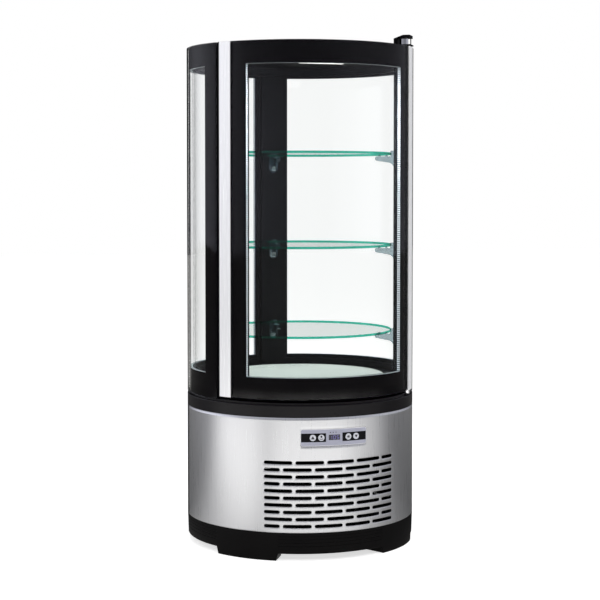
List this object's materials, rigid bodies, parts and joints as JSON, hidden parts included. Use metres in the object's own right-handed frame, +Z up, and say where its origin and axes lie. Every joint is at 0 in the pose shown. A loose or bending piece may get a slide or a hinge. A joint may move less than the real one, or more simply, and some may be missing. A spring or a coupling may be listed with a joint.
{
  "type": "refrigerated display case",
  "caption": "Round upright countertop display fridge with a hinged curved glass door, three glass shelves and a slotted steel base.",
  "frame": {"origin": "middle of the base on the floor", "axes": "+Z up, the door and control panel face -Y, +X to the right seen from the front"},
  "size_m": [0.48, 0.48, 1.0622],
  "materials": {
    "black_plastic": "moulded black plastic of the skirt and the top ring, satin",
    "black_paint": "gloss black paint on the posts, the header, the roof and the rear casing",
    "brushed_steel": "rolled stainless sheet with an upright fine grain",
    "galvanised_steel": "plain zinc-coated sheet of the base pan and the shroud",
    "silver_panel": "pale lilac-grey printed overlay of the control panel",
    "display_glass": "dark tinted display window",
    "button_silver": "round silver push buttons",
    "aluminium": "bright anodised upright profiles of the door",
    "glass": "clear curved panes, black printed round the edge",
    "shelf_glass": "clear shelf glass with a green edge",
    "spacer_bar": "perforated spacer bar between the panes",
    "black_gasket": "black frame and seal behind the edge of the glass",
    "chrome": "polished hinge bushes and pins",
    "clear_plastic": "clear moulded plastic of the shelf brackets",
    "white_deck": "pale deck under the lowest shelf",
    "foam_liner": "insulated tub, its rim dark",
    "lamp_cover": "white diffuser of the ceiling lamp",
    "fin_aluminium": "plain fins of the condenser and the evaporator",
    "black_enamel": "black enamel of the compressor and the motors",
    "grey_plastic": "grey moulded plastic of fans, tray, inlet and housing"
  },
  "bodies": {
    "cabinet": {"base_skirt": "black_plastic", "base_pan": "galvanised_steel", "front_skin": "brushed_steel", "rear_casing": "black_paint", "top_ring": "black_plastic", "control_fascia": "silver_panel", "control_housing": "grey_plastic", "display_window": "display_glass", "power_inlet": "grey_plastic", "insulated_tub": "foam_liner", "deck_plate": "white_deck", "front_left_post": "black_paint", "front_right_post": "black_paint", "rear_column": "black_paint", "header": "black_paint", "ceiling_lamp": "lamp_cover", "roof_cap": "black_paint", "top_hinge_bracket": "black_paint", "top_hinge_bush": "chrome", "bottom_hinge_bracket": "black_paint", "bottom_hinge_bush": "chrome", "condenser": "black_enamel", "condenser_shroud": "galvanised_steel", "condenser_fan_motor": "black_enamel", "compressor": "black_enamel", "drip_tray": "grey_plastic", "evaporator": "fin_aluminium", "evaporator_fan_motor": "black_enamel", "shelf_lower": "shelf_glass", "shelf_middle": "shelf_glass", "shelf_upper": "shelf_glass", "left_outer_glass": "glass", "left_inner_glass": "glass", "left_spacer": "spacer_bar", "left_frame": "black_gasket", "right_outer_glass": "glass", "right_inner_glass": "glass", "right_spacer": "spacer_bar", "right_frame": "black_gasket", "bracket_lower_left": "clear_plastic", "bracket_lower_right": "clear_plastic", "bracket_lower_rear": "clear_plastic", "bracket_middle_left": "clear_plastic", "bracket_middle_right": "clear_plastic", "bracket_middle_rear": "clear_plastic", "bracket_upper_left": "clear_plastic", "bracket_upper_right": "clear_plastic", "bracket_upper_rear": "clear_plastic"},
    "door": {"door_outer_glass": "glass", "door_inner_glass": "glass", "door_spacer": "spacer_bar", "door_frame": "black_gasket", "handle_profile": "aluminium", "hinge_profile": "aluminium"},
    "condenser_fan_rotor": {"condenser_fan": "grey_plastic"},
    "evaporator_fan_rotor": {"evaporator_fan": "grey_plastic"},
    "button_up_key": {"button_up": "button_silver"},
    "button_lamp_key": {"button_lamp": "button_silver"},
    "button_defrost_key": {"button_defrost": "button_silver"},
    "button_down_key": {"button_down": "button_silver"}
  },
  "joints": [
    {"name": "door_hinge", "type": "hinge", "parent": "cabinet", "child": "door", "pos_m": [0.19378, -0.12203, 0.35], "axis": [0, 0, 1], "range_deg": [0, 105]},
    {"name": "button_up_press", "type": "slide", "parent": "cabinet", "child": "button_up_key", "axis": [0.1891, 0.982, 0], "range_m": [0, 0.0007], "stiffness_N_per_m": 300, "springref_m": -0.0006},
    {"name": "button_lamp_press", "type": "slide", "parent": "cabinet", "child": "button_lamp_key", "axis": [0.1184, 0.993, 0], "range_m": [0, 0.0007], "stiffness_N_per_m": 300, "springref_m": -0.0006},
    {"name": "button_defrost_press", "type": "slide", "parent": "cabinet", "child": "button_defrost_key", "axis": [-0.1184, 0.993, 0], "range_m": [0, 0.0007], "stiffness_N_per_m": 300, "springref_m": -0.0006},
    {"name": "button_down_press", "type": "slide", "parent": "cabinet", "child": "button_down_key", "axis": [-0.1891, 0.982, 0], "range_m": [0, 0.0007], "stiffness_N_per_m": 300, "springref_m": -0.0006},
    {"name": "condenser_fan_spin", "type": "hinge", "parent": "cabinet", "child": "condenser_fan_rotor", "pos_m": [0, -0.15435, 0.0852], "axis": [0, 1, 0], "continuous": true},
    {"name": "evaporator_fan_spin", "type": "hinge", "parent": "cabinet", "child": "evaporator_fan_rotor", "pos_m": [0, 0.11, 0.27], "axis": [0, 0, 1], "continuous": true}
  ]
}
